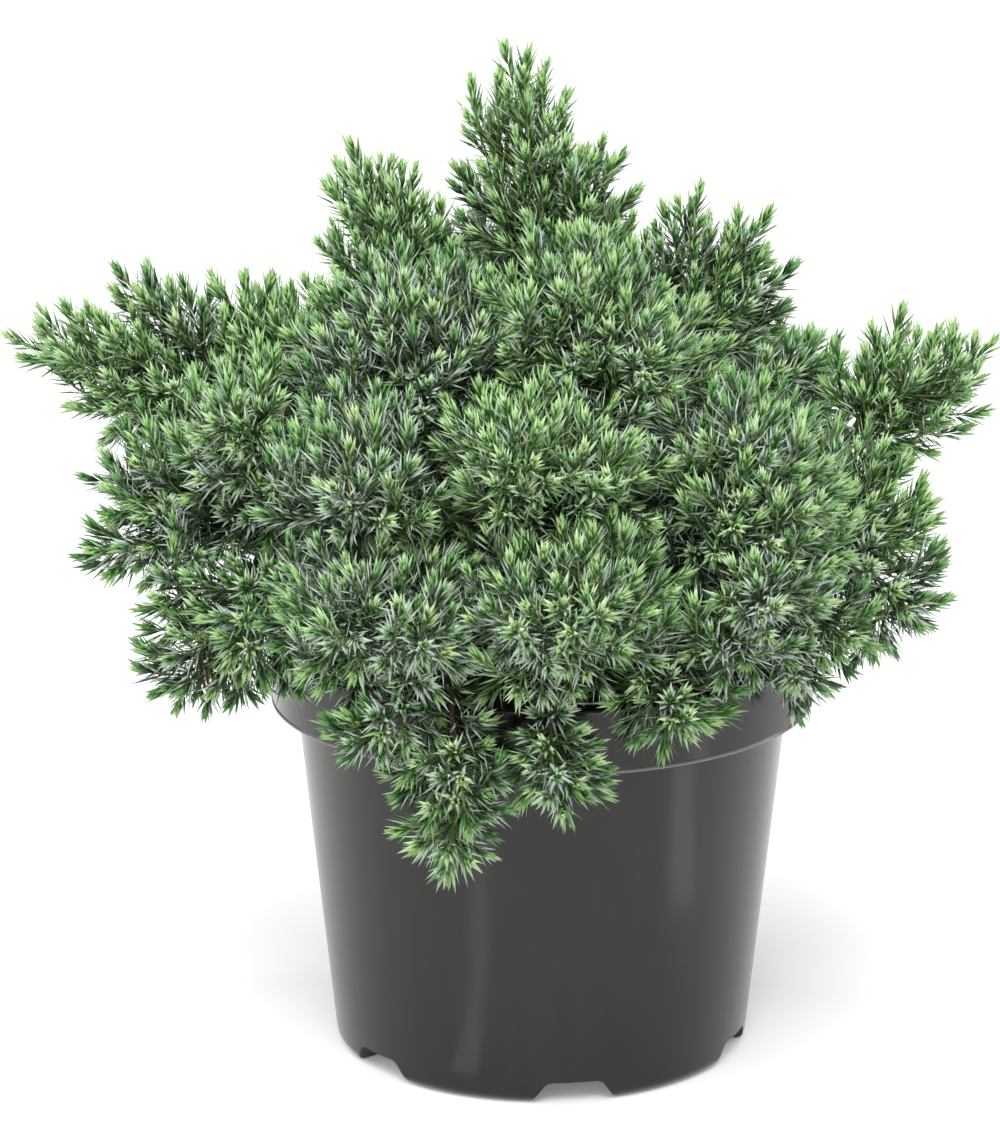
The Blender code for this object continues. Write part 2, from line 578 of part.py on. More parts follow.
class Mass:
    """One mass of foliage: its stems, cores, twigs and sprays, fused into one solid."""

    def __init__(self, name, dense, start, tips):
        self.name = name
        self.dense = dense
        self.start = place(start)
        self.lobes = [Lobe(name, self.start, place(tip[:3]), tip[3] * MM) for tip in tips]
        self.axis = sum((lobe.axis for lobe in self.lobes), Vector()).normalized()
        self.fork = self.start + self.axis * NECK
        self.cores = {}
        self.sprays = []

    def make_cores(self, around):
        """A lumpy low core in each lobe of a dense mass, as large as fits."""
        for number, lobe in enumerate(self.lobes if self.dense else []):
            chance = random.Random(f"{self.name}/{number}/core")
            reaches = []
            body = bmesh.new()
            bmesh.ops.create_icosphere(body, subdivisions=1, radius=1.0)
            for vert in body.verts:
                way = vert.co.normalized()
                reaches.append((way, around.reach(lobe, lobe.middle, way) * chance.uniform(0.9, 1.1)))
            for fill in CORE_FILLS:
                for vert, (way, reach) in zip(body.verts, reaches):
                    vert.co = lobe.middle + way * reach * fill
                mesh = bpy.data.meshes.new("core")
                body.to_mesh(mesh)
                if not around.touched(mesh, self.name):
                    self.cores[number] = mesh
                    break
            body.free()

    def stem(self, lobe, end, chance, around):
        """A stem from the fork to a point, bowed to one side and clear of what is near."""
        for _ in range(STEM_TRIES):
            bow = Vector([chance.uniform(-1, 1) for _ in range(3)]) * STEM_BOW * lobe.length
            path = [self.fork, self.fork.lerp(end, 0.5) + bow, end]
            wide = [BOUGH_TIP_RADIUS + SPRAY_CLEARANCE] * 3
            if not around.touched(tube(path, wide, STEM_SIDES), self.name):
                break
        radii = [BOUGH_TIP_RADIUS * 0.9, (BOUGH_TIP_RADIUS + STEM_TIP_RADIUS) / 2, STEM_TIP_RADIUS]
        return path, tube(path, radii, STEM_SIDES)

    def spray(self, root, tip, rings, turn, around):
        """A spray from root to tip, if nothing is in its way."""
        length = (tip - root).length
        low, high = SPRAY_RADIUS_RANGE
        radius = max(low, min(high, length * SPRAY_SLIMNESS))
        if around.touched(spray(root, tip, radius, rings, turn, SPRAY_CLEARANCE), self.name):
            return None
        outer = root.lerp(tip, SPRAY_ROOT_SHARE)
        tree = tree_of(spray(outer, tip, radius, rings, turn, SPRAY_CLEARANCE))
        if any(other.overlap(tree) for other in self.sprays):
            return None
        self.sprays.append(tree_of(spray(outer, tip, radius, rings, turn)))
        return spray(root, tip, radius, rings, turn)

    def twig(self, base, root, around):
        """A straight twig, if nothing is in its way."""
        if around.touched(tube([base, root], [TWIG_RADIUS + SPRAY_CLEARANCE] * 2, TWIG_SIDES), self.name):
            return None
        return tube([base, root], [TWIG_RADIUS] * 2, TWIG_SIDES)

    def outgrowth(self, base, way, start_at, reach, rings, chance, around):
        """A spray on the way out from a base point, on a twig of its own if it is far."""
        turn = chance.uniform(0, math.tau)
        longest = SPRAY_LENGTH * chance.uniform(0.85, 1.0)
        for share in REACH_SHARES:
            out = reach * share
            inner = max(start_at, out - longest)
            if out - inner < SPRAY_SHORTEST:
                break
            made = self.spray(base + way * inner, base + way * out, rings, turn, around)
            if made is None:
                continue
            if inner <= start_at:
                return [made]
            twig = self.twig(base + way * start_at, base + way * (inner + SPRAY_ROOT_SUNK), around)
            if twig is not None:
                return [made, twig]
        return []

    def dense_lobe(self, number, lobe, chance, around):
        """Sprays that stand out of a lobe's core on all its free sides."""
        hull = self.cores[number]
        tree = tree_of(hull)
        _, stem = self.stem(lobe, lobe.middle, chance, around)
        pieces = [stem, hull]
        count = round(lobe.length * lobe.half_width / DENSE_AREA_PER_SPRAY)
        phase = chance.uniform(0, math.tau)
        for index in range(count):
            lean = math.acos(1 - (1 - DENSE_LAST_COSINE) * index / count)
            for swing in AZIMUTH_TRIES:
                if index == 0:
                    way = (lobe.tip - lobe.middle).normalized()
                    reach = (lobe.tip - lobe.middle).length
                else:
                    way = lobe.way(lean, phase + index * GOLDEN_ANGLE + swing)
                    reach = around.reach(lobe, lobe.middle, way, OUTER_SLACK)
                surface = tree.ray_cast(lobe.middle, way)[3]
                start_at = surface - SPRAY_ROOT_SUNK
                rings = LEADER_RINGS if index == 0 else SPRAY_RINGS
                found = self.outgrowth(lobe.middle, way, start_at, reach, rings, chance, around)
                if found:
                    pieces += found
                    break
        return pieces

    def open_lobe(self, lobe, chance, around):
        """A stem with twigs and sprays along it, and one spray as its leader."""
        length = max(0.3 * lobe.length, lobe.length - SPRAY_LENGTH)
        top = lobe.start + lobe.axis * length
        path, stem = self.stem(lobe, top, chance, around)
        pieces = [stem]
        leader = top - lobe.axis * SPRAY_ROOT_SUNK
        ahead = (lobe.tip - leader).length
        pieces += self.outgrowth(leader, (lobe.tip - leader).normalized(), 0.0, ahead,
                                 LEADER_RINGS, chance, around)
        count = round(lobe.length * lobe.half_width / OPEN_AREA_PER_SPRAY)
        phase = chance.uniform(0, math.tau)
        for index in range(count):
            share = (index + 0.5) / count
            span = 0 if share < 0.5 else 1
            base = path[span].lerp(path[span + 1], 2 * share - span)
            low, high = SIDE_ANGLE_RANGE
            for swing in AZIMUTH_TRIES:
                way = lobe.way(low + (high - low) * share, phase + index * GOLDEN_ANGLE + swing)
                reach = around.reach(lobe, base, way, OUTER_SLACK)
                found = self.outgrowth(base, way, 0.0, reach, SPRAY_RINGS, chance, around)
                if found:
                    pieces += found
                    break
        return pieces

    def fuse(self, around):
        """All the pieces of the mass joined into one closed solid."""
        pieces = []
        for number, lobe in enumerate(self.lobes):
            chance = random.Random(f"{self.name}/{number}")
            if number in self.cores:
                pieces += self.dense_lobe(number, lobe, chance, around)
            else:
                pieces += self.open_lobe(lobe, chance, around)
        ends = [self.start + self.axis * GAP, self.fork + self.axis * NECK / 2]
        neck = tube(ends, [BOUGH_TIP_RADIUS] * 2, NECK_SIDES)
        while True:
            for solver in ("EXACT", "MANIFOLD"):
                copies = [piece.copy() for piece in pieces]
                joined = largest_shell(boolean(neck.copy(), "UNION", copies, solver))
                if is_closed(joined):
                    return joined
            pieces.pop()


def main():
    """Build the whole plant in its pot."""
    for old in list(bpy.data.objects):
        bpy.data.objects.remove(old)
    plastic = material("pot plastic", (0.046, 0.042, 0.041), 0.38)
    peat = material("soil", (0.030, 0.018, 0.012), 0.95)
    bark = material("bark", (0.120, 0.062, 0.036), 0.85)
    needles = material("needles", (0.075, 0.220, 0.110), 0.60)

    around = Surroundings()
    around.solids["pot"] = tree_of(make_pot(plastic).data)
    around.solids["soil"] = tree_of(make_soil(peat).data)

    masses = [Mass(name, dense, start, tips) for name, (_, _, dense, start, tips) in MASSES.items()]
    limbs = {}
    for mass in masses:
        around.lobes += mass.lobes
        parent, share = MASSES[mass.name][:2]
        if parent == "ground":
            node = "trunk"
            limbs[node] = make_trunk(mass)
        else:
            node = "bough_" + mass.name
            limbs[node] = clear_bough(parent, limbs[parent], share, mass, around)
        around.solids[node] = tree_of(show(node, limbs[node].mesh, bark, BARK_SMOOTH).data)

    for mass in masses:
        mass.make_cores(around)
        for number, hull in mass.cores.items():
            around.solids[f"{mass.name}/{number}"] = tree_of(hull)
    for mass in masses:
        for number in mass.cores:
            del around.solids[f"{mass.name}/{number}"]
        node = show("foliage_" + mass.name, mass.fuse(around), needles)
        around.solids[mass.name] = tree_of(node.data)


main()
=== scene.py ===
import itertools
import math
import random
from collections import namedtuple

import bpy
import numpy as np
from mathutils import Matrix, Vector
from mathutils.bvhtree import BVHTree


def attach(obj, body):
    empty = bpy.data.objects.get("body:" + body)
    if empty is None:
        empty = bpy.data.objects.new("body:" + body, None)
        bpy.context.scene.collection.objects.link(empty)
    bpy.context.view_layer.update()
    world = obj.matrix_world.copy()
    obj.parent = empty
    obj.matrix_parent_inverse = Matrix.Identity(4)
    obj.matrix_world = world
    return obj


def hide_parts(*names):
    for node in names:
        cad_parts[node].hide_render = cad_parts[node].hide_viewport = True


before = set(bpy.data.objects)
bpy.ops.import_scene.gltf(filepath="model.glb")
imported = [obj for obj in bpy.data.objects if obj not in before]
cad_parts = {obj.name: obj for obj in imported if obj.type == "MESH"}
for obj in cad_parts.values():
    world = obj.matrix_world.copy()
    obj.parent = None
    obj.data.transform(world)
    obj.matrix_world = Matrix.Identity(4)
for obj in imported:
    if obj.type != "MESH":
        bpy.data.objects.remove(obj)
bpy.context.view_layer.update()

MM = 0.001
UP = Vector((0.0, 0.0, 1.0))
GOLDEN_ANGLE = math.radians(137.5)

# Pot, as in the source
POT_SEGMENTS = 144
RIM_RADIUS = 95.0 * MM
RIM_TOP = 146.5 * MM
RIM_EDGE = 0.8 * MM             # rounding of the rim's outer edge
COLLAR_HEIGHT = 22.5 * MM
COLLAR_DRAFT = 1.2 * MM         # how much narrower the collar is at its lower edge
COLLAR_FILLET = 0.7 * MM        # where the wall meets the collar
BEAD_PROUD = 0.45 * MM          # of the fine bead round the collar's lower edge
BEAD_HEIGHT = 0.6 * MM
BEAD_LOWER_EDGE = 0.25 * MM
BEAD_UPPER_EDGE = 0.2 * MM
WALL_TOP_RADIUS = 85.5 * MM     # outside, just under the collar
WALL_FOOT_RADIUS = 72.2 * MM    # outside, carried down to z = 0
CORNER_RADIUS = 4.0 * MM
ROUNDING_STEPS = 4
WALL = 2.0 * MM
FLOOR = 2.6 * MM
HOLLOW_DISC = 30.0 * MM         # radius of the flat disc that the pot's hollow is drawn from
CHANNELS = 6
CHANNEL_AZIMUTH = math.radians(8.5)     # of the one nearest the front, towards +X
CHANNEL_MOUTH = 29.0 * MM               # width at the floor
CHANNEL_ROOF = 19.0 * MM                # width of its flat top
CHANNEL_HEIGHT = 7.5 * MM
CHANNEL_INNER = 47.0 * MM               # distance of its closed end from the middle
CHANNEL_OUTER = 100.0 * MM
CHANNEL_EDGE = 1.8 * MM                 # rounding of its upper edges
DRAIN_HOLE_RADIUS = 3.5 * MM
DRAIN_HOLE_OUT = 59.0 * MM

# Soil
SOIL_TOP = 136.0 * MM
SOIL_EDGE_DROP = 3.0 * MM
SOIL_FLAT = 16.0 * MM           # radius of the level patch round the trunk
SOIL_RADIUS = 91.8 * MM
CRUMBS = 2600
CRUMB_SPREAD = 0.97             # of the soil's radius
CRUMB_SIZES = (1.0, 1.5, 2.2)   # half-widths in millimetres, and the share of each
CRUMB_SHARES = (0.6, 0.3, 0.1)
CRUMB_STRETCH = (1.0, 2.4)      # how much longer than wide a crumb is

# Limbs
LIMB_VOXEL = 0.8 * MM
BARK_RELIEF = 0.45 * MM
BARK_RIDGES = 2.4 * MM          # from one ridge to the next

# Patterns of the finishes
STREAK_SPACING = 4.17 * MM      # flow streaks, which run down the pot's wall
PATCH_WIDTH = 25.0 * MM         # soft patches where handling changed the satin
MOULD_GRAIN = 0.5 * MM          # the mould's fine texture, coarser than life so that it shows
FLECK_WIDTH = 2.38 * MM         # bark fines in the peat
STRIP_WIDTH = 1.54 * MM         # of bark

# Foliage: the spaces that the masses keep to
LOBE_MIDDLE = 0.53              # of the way from a lobe's start to its tip
REACH_LOSS = 0.36               # the most that a twig stops short of its reach by chance
LOSS_BIAS = 1.6                 # past 1, most twigs lose little
OUTER_SLACK = 0.98              # of a dense lobe's own depth, at the crown's outside
OPEN_SLACK = 0.94               # the same for a loose one
HANGING_SLACK = 1.08            # and for one that hangs over the pot's edge
INNER_SLACK = 1.9               # what is added to that in the middle of the crown
MINGLE = 0.32                   # how far neighbours reach between each other
CROWN_MIDDLE = Vector((0.0, 0.01, 0.185))
CROWN_HALF_SIZES = (0.155, 0.140, 0.100)
REACH_STEP = 1.5 * MM
SIGHT_STEP = 3.0 * MM           # between the places where a line is tested for clearance
LIMB_CLEARANCE = 1.6 * MM
POT_CLEARANCE = 4.5 * MM
TIP_CLEARANCE = 7.0 * MM        # between one shoot's tip and the next
TIP_INSET = 5.5 * MM            # from a shoot's own tip to the tips of its last needles

# Foliage: stems and twigs
NECK = 2.5 * MM                 # from the bough's end to where a mass's stems part
STEM_BOW = 0.07                 # sideways, as a share of the lobe's length
BOUGH_TIP_RADIUS = 1.5 * MM
STEM_ROOT_RADIUS = BOUGH_TIP_RADIUS * 0.95
STEM_TIP_RADIUS = 0.7 * MM
LEADER_SHARE = 0.9              # of a stem's outer half, the most that is a shoot
TWIG_SPACING = 0.75 * MM        # along a stem
FIRST_TWIG = 0.04               # place on the stem, as a share of it
TWIG_STRETCH = 0.9              # share of the stem that twigs spring from
TWIG_ROOT = 5.0 * MM            # where a twig may lie against the limb that it springs from
TWIG_SHORTEST = 6.0 * MM
TWIG_RADII = (0.8 * MM, 0.6 * MM)
SIDE_ANGLE_RANGE = (math.radians(84), math.radians(20))     # from the stem's foot to its tip
STRAY_ANGLE = math.radians(12)  # how far a twig's direction strays by chance
LIFT = 0.2                      # how much twigs turn up towards the light
REACH_SHARES = (1.0, 0.82, 0.64, 0.46)  # of its reach, the lengths that a twig tries in turn
TWIG_SIDES = 3

# Foliage: shoots
SHOOT_LENGTH = 30.0 * MM        # the longest stretch that is clothed with needles
SHOOT_RADII = (0.55 * MM, 0.3 * MM)
SHOOT_SPACING = 4.4 * MM        # along a twig
SPACING_CHANCE = (0.8, 1.2)
BARE_FOOT = 0.25                # share of a twig that has no side shoots
SHOOTS_BACK = 42.0 * MM         # how far back from a twig's tip they begin
SHOOTS_END = 5.0 * MM           # and how far short of it they end
SIDE_SHOOT_RANGE = (17.0 * MM, 30.0 * MM)
SHOOT_GROWTH = 0.45             # what a side shoot gains for each length that it is older
SHOOT_CHANCE = (0.8, 1.15)
SHOOT_ANGLE = math.radians(44)
ANGLE_CHANCE = (0.6, 1.4)
HANGING_SLOPE = -0.5            # a lobe whose axis falls more than this hangs, and its shoots too
SHOOT_LIFT = 0.9                # how strongly side shoots turn up towards the light
SHOOT_SWEEP = 0.18              # how far a shoot sags before it turns up, as a share of its length

# Needles: in whorls, their place counted back from the shoot's tip
NEEDLES_IN_WHORL = 3
FEWEST_WHORLS = 4
FIRST_WHORL_SPACING = 1.1 * MM
WHORL_SPACING_GROWTH = 0.06     # of the first spacing, for each whorl passed
WHORL_STRAY = 0.2               # of a spacing
WHORL_TURN = math.radians(60)
TURN_STRAY = 0.16
NEEDLE_PLACES = np.array([0.0, 2.5, 6.0, 11.0, 18.0]) * MM
NEEDLE_ANGLES = np.radians([10.0, 21.0, 34.0, 46.0, 56.0])
NEEDLE_LENGTHS = np.array([6.0, 8.6, 10.2, 10.4, 9.2]) * MM
NEEDLE_WIDTHS = np.array([1.5, 1.7, 1.35, 1.1, 0.95]) * MM
ANGLE_STRAY = math.radians(6)
VIGOUR = (0.85, 1.12)           # of a whole shoot's needles
LENGTH_CHANCE = (0.82, 1.15)
WIDTH_CHANCE = (0.9, 1.1)
NEEDLE_THICKNESS = 0.35 * MM
NEEDLE_ROOT = 0.3 * MM          # from the shoot's middle
SHOULDER = 0.44                 # where a needle is widest, as a share of its length
NEEDLE_CURL = 0.05              # towards the shoot, as a share of its length

# Needles: age and colour. A spray's habit runs from 0, green, to 1, blue.
FRESH, SPRING, GREEN, BLUE, STRAW = range(5)
NEEDLE_COLOURS = (              # of each age's green back, and of its inner face
    ("fresh", "#95C077", "#C4DEA9"),
    ("spring", "#679A56", "#B0CDA3"),
    ("green", "#3F5E2F", "#B9CEB0"),
    ("blue", "#3A583A", "#C4D5C5"),
    ("straw", "#A98D52", "#C2AC78"),
)
GREEN_HEIGHT = 235.0 * MM       # sprays that end lower are bluer, wholly so by the depth below
BLUE_DEPTH = 110.0 * MM
BLUE_PULL = 0.45
HABIT_RANGE = (0.15, 0.85)      # of the masses
HABIT_TOP = 0.99
SPRAY_SPREAD = 0.28             # how far one spray of a mass differs from the next
BLUE_HABIT = 0.5                # old needles are blue from here on
SPRING_HABIT = 0.62             # below this, last spring's needles still show
FRESH_HABIT = 0.72              # below this, the newest are pale
FRESH_DEPTH = 4.6 * MM          # how far back the year's pale needles go
SPRING_DEPTH = 13.0 * MM
AGE_CHANCE = (0.75, 1.5)
STRAW_SHARE = 0.006             # of the inner needles
BLOOM_AND_PAINTED_SHADE_SHARES = (0.68, 0.42)   # of the outer and inner needles, how many have a waxy inner side; the smaller inner share is painted shade that darkens the inside of the masses
BLUE_BLOOM = 0.15               # what is added to those shares on a blue shoot

# Studio
FLOOR_WIDTH = 12.0
FLOOR_DROP = 0.0005             # keeps the floor just clear of the pot's underside
TABLE_GLOW = 0.16               # the floor is a white table with a little light from below
AIR_GLOW = 0.14
AIM = (0.0, 0.0, 0.2)           # where the softboxes point
SOFTBOXES = {                   # place, width and height, power
    "key_softbox": ((0.1, -1.4, 1.6), (0.7, 0.7), 14.0),
    "left_strip": ((-1.2, 0.5, 0.3), (0.3, 0.8), 5.0),
    "right_strip": ((1.2, 0.4, 0.3), (0.3, 0.8), 6.0),
}
GLOW_HEIGHT = 0.001             # strips of light on the floor, mirrored in the wall as soft bands
FRONT_GLOW_AZIMUTH = math.radians(-26)      # where they lie, from -Y round the pot
FRONT_GLOW_TURN = math.radians(-27)
FRONT_GLOW_LENGTH = 0.09
FRONT_GLOWS = ((0.13, 0.014), (0.20, 0.022), (0.29, 0.032), (0.40, 0.042))  # distance, width
FRONT_GLOW_POWER = 0.2          # for each metre of width
RIGHT_GLOW_PLACE = (0.30, -0.16, GLOW_HEIGHT)
RIGHT_GLOW_TURN = math.radians(62)
RIGHT_GLOW_SIZE = (0.05, 0.30)
RIGHT_GLOW_POWER = 0.05
CEILING_POWER = 3.9             # a wide ceiling of light, the same all over the floor
CEILING_SPREAD = math.radians(100)
CEILING_TILT = (math.radians(28), math.radians(-14), 0.0)
CAMERA_PLACE = (-0.0146, -1.5, 0.5826)
CAMERA_DIP = 15.434             # degrees below level
FOCAL_LENGTH = 161.88           # millimetres, as the sensor's width
SENSOR_WIDTH = 36.0

# The masses of foliage, as in the source, by the piece that their needles are joined into.
# Each: whether it is dense, its start, and its lobes' tips with their half-widths, in millimetres.
MASSES = {
    "crown": {
        "crown": (True, (6, 10, 258), ((-14, 15, 352, 27), (21, 0, 323, 25), (-32, 14, 310, 22))),
        "upper_left": (False, (-42, 10, 246), ((-66, 5, 320, 27), (-40, 5, 301, 24))),
        "upper_right": (False, (39, 22, 243), (
            (81, 30, 291, 22), (55, 22, 302, 20), (90, 25, 272, 24))),
        "centre_left": (True, (-35, -20, 223), ((-54, -80, 281, 48),)),
        "centre_top": (True, (11, -12, 233), ((5, -85, 287, 44), (37, -90, 267, 40))),
    },
    "front": {
        "front_right": (True, (49, -40, 197), ((67, -105, 245, 40), (86, -115, 220, 36))),
        "front_left": (True, (-48, -65, 185), ((-70, -135, 179, 38), (-38, -145, 182, 34))),
        "front_lower": (True, (2, -60, 178), ((18, -152, 196, 38), (-11, -150, 190, 36))),
        "front_upper": (True, (2, -38, 207), ((-15, -135, 243, 38), (18, -130, 232, 36))),
        "front_left_upper": (True, (-45, -50, 210), ((-68, -128, 230, 42),)),
    },
    "low": {
        "front_right_low": (True, (59, -55, 180), (
            (75, -122, 189, 38), (113, -70, 159, 24), (94, -85, 148, 26))),
        "front_low_right": (False, (35, -75, 172), ((47, -118, 142, 24),)),
        "hang": (False, (-31, -97, 168), ((-31, -118, 94, 24), (-67, -112, 133, 24))),
        "hang_right": (False, (0, -100, 162), ((7, -118, 114, 22),)),
    },
    "left": {
        "left_arm": (False, (-101, 5, 226), (
            (-186, 0, 252, 27), (-149, 12, 275, 25), (-163, -10, 228, 29))),
        "left_upper": (False, (-75, 0, 229), ((-116, 12, 272, 22), (-94, 0, 262, 20))),
        "left_mid": (True, (-82, -25, 202), ((-158, -30, 209, 36), (-160, -45, 184, 28))),
        "left_front": (True, (-79, -30, 219), ((-110, -80, 241, 38),)),
        "left_hang": (False, (-85, -45, 183), (
            (-133, -50, 136, 26), (-100, -80, 153, 24), (-138, -50, 167, 26))),
    },
    "right": {
        "right_arm": (False, (105, -5, 219), (
            (156, -10, 253, 26), (124, 0, 264, 18), (148, -10, 221, 16))),
        "right_shoulder": (False, (56, 15, 222), ((102, 15, 239, 20),)),
        "right_side": (True, (88, -20, 188), (
            (138, -15, 191, 23), (134, -35, 156, 28), (128, -12, 214, 25))),
    },
    "back": {
        "back_top": (True, (6, 32, 232), ((18, 88, 270, 46), (-32, 84, 270, 46), (-38, 26, 264, 28))),
        "back_left": (True, (-55, 45, 214), ((-118, 85, 226, 44), (-76, 120, 214, 46))),
        "back_right": (True, (60, 50, 210), ((104, 86, 206, 42), (42, 126, 206, 46))),
    },
    "back_low": {
        "back_low_left": (True, (-52, 74, 178), ((-108, 108, 168, 44), (-34, 146, 178, 48))),
        "back_low_right": (True, (48, 76, 177), ((108, 100, 164, 44), (36, 146, 176, 48))),
    },
    "inner": {
        "inner_left": (True, (-34, 20, 162), ((-84, 26, 168, 32), (-30, 62, 166, 34))),
        "inner_right": (True, (36, 20, 163), ((84, 26, 168, 32), (30, 60, 168, 34))),
    },
}

Shoot = namedtuple("Shoot", "start bend tip habit")
Twig = namedtuple("Twig", "path root_radius tip_radius woody")


def linear(hex_colour):
    """A colour given as sRGB hex, as linear light with full opacity."""
    parts = [int(hex_colour[index:index + 2], 16) / 255 for index in (1, 3, 5)]
    return [part / 12.92 if part <= 0.04045 else ((part + 0.055) / 1.055) ** 2.4 for part in parts] + [1.0]


def add_node(tree, kind, settings=None, links=None):
    """Add a node, set its settings and socket values, and link sockets into it."""
    node = tree.nodes.new(kind)
    for name, value in (settings or {}).items():
        if hasattr(node, name):
            setattr(node, name, value)
        else:
            node.inputs[name].default_value = value
    for name, socket in (links or {}).items():
        tree.links.new(socket, node.inputs[name])
    return node


def new_material(name, colour, roughness):
    """A principled material with a plain colour, its tree and its shader."""
    made = bpy.data.materials.new(name)
    made.use_nodes = True
    shader = made.node_tree.nodes["Principled BSDF"]
    shader.inputs["Base Color"].default_value = linear(colour)
    shader.inputs["Roughness"].default_value = roughness
    made.diffuse_color = linear(colour)
    return made, made.node_tree, shader


def moulded_polypropylene():
    """Injection moulded black-brown plastic: satin, with faint drawn streaks down the wall."""
    made, tree, shader = new_material("moulded_polypropylene", "#141111", 0.2)
    shader.inputs["IOR"].default_value = 1.44
    position = add_node(tree, "ShaderNodeTexCoord").outputs["Object"]
    # Flow streaks, drawn out along the wall
    drawn = add_node(tree, "ShaderNodeMapping", {"Scale": (1.0, 1.0, 0.06)}, {"Vector": position})
    streaks = add_node(tree, "ShaderNodeTexNoise",
                       {"Scale": 1 / STREAK_SPACING, "Detail": 3.0, "Roughness": 0.55},
                       {"Vector": drawn.outputs["Vector"]})
    tint = add_node(tree, "ShaderNodeValToRGB", {}, {"Fac": streaks.outputs["Fac"]})
    tint.color_ramp.elements[0].position = 0.3
    tint.color_ramp.elements[0].color = linear("#110E0E")
    tint.color_ramp.elements[1].position = 0.7
    tint.color_ramp.elements[1].color = linear("#181514")
    tree.links.new(tint.outputs["Color"], shader.inputs["Base Color"])
    # Handling leaves the satin a little uneven
    patches = add_node(tree, "ShaderNodeTexNoise", {"Scale": 1 / PATCH_WIDTH, "Detail": 4.0},
                       {"Vector": position})
    satin = add_node(tree, "ShaderNodeMapRange",
                     {"From Min": 0.2, "From Max": 0.8, "To Min": 0.17, "To Max": 0.23},
                     {"Value": patches.outputs["Fac"]})
    tree.links.new(satin.outputs["Result"], shader.inputs["Roughness"])
    # The mould's fine texture
    grain = add_node(tree, "ShaderNodeTexNoise", {"Scale": 1 / MOULD_GRAIN, "Detail": 2.0},
                     {"Vector": position})
    relief = add_node(tree, "ShaderNodeBump", {"Strength": 0.05, "Distance": 0.04 * MM},
                      {"Height": grain.outputs["Fac"]})
    tree.links.new(relief.outputs["Normal"], shader.inputs["Normal"])
    return made


def peat_compost():
    """Moist peat with bark fines: near black, matt, with brown flecks."""
    made, tree, shader = new_material("peat_compost", "#2A1C14", 0.95)
    position = add_node(tree, "ShaderNodeTexCoord").outputs["Object"]
    flecks = add_node(tree, "ShaderNodeTexNoise",
                      {"Scale": 1 / FLECK_WIDTH, "Detail": 5.0, "Roughness": 0.7},
                      {"Vector": position})
    tint = add_node(tree, "ShaderNodeValToRGB", {}, {"Fac": flecks.outputs["Fac"]})
    tint.color_ramp.elements[0].position = 0.38
    tint.color_ramp.elements[0].color = linear("#1C120D")
    tint.color_ramp.elements[1].position = 0.72
    tint.color_ramp.elements[1].color = linear("#4A3222")
    tree.links.new(tint.outputs["Color"], shader.inputs["Base Color"])
    relief = add_node(tree, "ShaderNodeBump", {"Strength": 0.7, "Distance": 0.8 * MM},
                      {"Height": flecks.outputs["Fac"]})
    tree.links.new(relief.outputs["Normal"], shader.inputs["Normal"])
    return made


def juniper_bark():
    """Thin stringy bark: grey-brown strips with red-brown between them."""
    made, tree, shader = new_material("juniper_bark", "#4A3429", 0.85)
    position = add_node(tree, "ShaderNodeTexCoord").outputs["Object"]
    drawn = add_node(tree, "ShaderNodeMapping", {"Scale": (1.0, 1.0, 0.25)}, {"Vector": position})
    strips = add_node(tree, "ShaderNodeTexNoise",
                      {"Scale": 1 / STRIP_WIDTH, "Detail": 5.0, "Roughness": 0.65},
                      {"Vector": drawn.outputs["Vector"]})
    tint = add_node(tree, "ShaderNodeValToRGB", {}, {"Fac": strips.outputs["Fac"]})
    tint.color_ramp.elements[0].position = 0.35
    tint.color_ramp.elements[0].color = linear("#33211A")
    tint.color_ramp.elements[1].position = 0.68
    tint.color_ramp.elements[1].color = linear("#6A5447")
    tree.links.new(tint.outputs["Color"], shader.inputs["Base Color"])
    relief = add_node(tree, "ShaderNodeBump", {"Strength": 0.6, "Distance": 0.4 * MM},
                      {"Height": strips.outputs["Fac"]})
    tree.links.new(relief.outputs["Normal"], shader.inputs["Normal"])
    return made


def waxy_needle(name, colour):
    """A leathery needle under a thin bloom of wax: soft gloss, one plain colour."""
    made, _, shader = new_material(name, colour, 0.5)
    shader.inputs["IOR"].default_value = 1.42
    return made


def deselect():
    """Leave nothing selected or active."""
    bpy.ops.object.select_all(action="DESELECT")
    bpy.context.view_layer.objects.active = None


def only(piece):
    """Select one piece alone."""
    deselect()
    piece.select_set(True)
    bpy.context.view_layer.objects.active = piece


def link(name, data):
    """Put an object with the given mesh, lamp or camera into the scene."""
    made = bpy.data.objects.new(name, data)
    bpy.context.scene.collection.objects.link(made)
    return made


def apply_modifier(piece, kind, **settings):
    """Give a piece a modifier and apply it."""
    only(piece)
    step = piece.modifiers.new(kind.lower(), kind)
    for name, value in settings.items():
        setattr(step, name, value)
    bpy.ops.object.modifier_apply(modifier=step.name)


def set_materials(piece, *materials):
    """Give a piece these materials and no others."""
    piece.data.materials.clear()
    for material in materials:
        piece.data.materials.append(material)


def finish_piece(piece, name, nodes=()):
    """Name a piece, attach it to the root body, and hide the nodes that it stands for."""
    piece.name = name
    piece.data.name = name
    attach(piece, "root")
    if nodes:
        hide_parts(*nodes)


def limb_names():
    """The nodes of the trunk and the boughs."""
    return [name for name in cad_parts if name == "trunk" or name.startswith("bough_")]


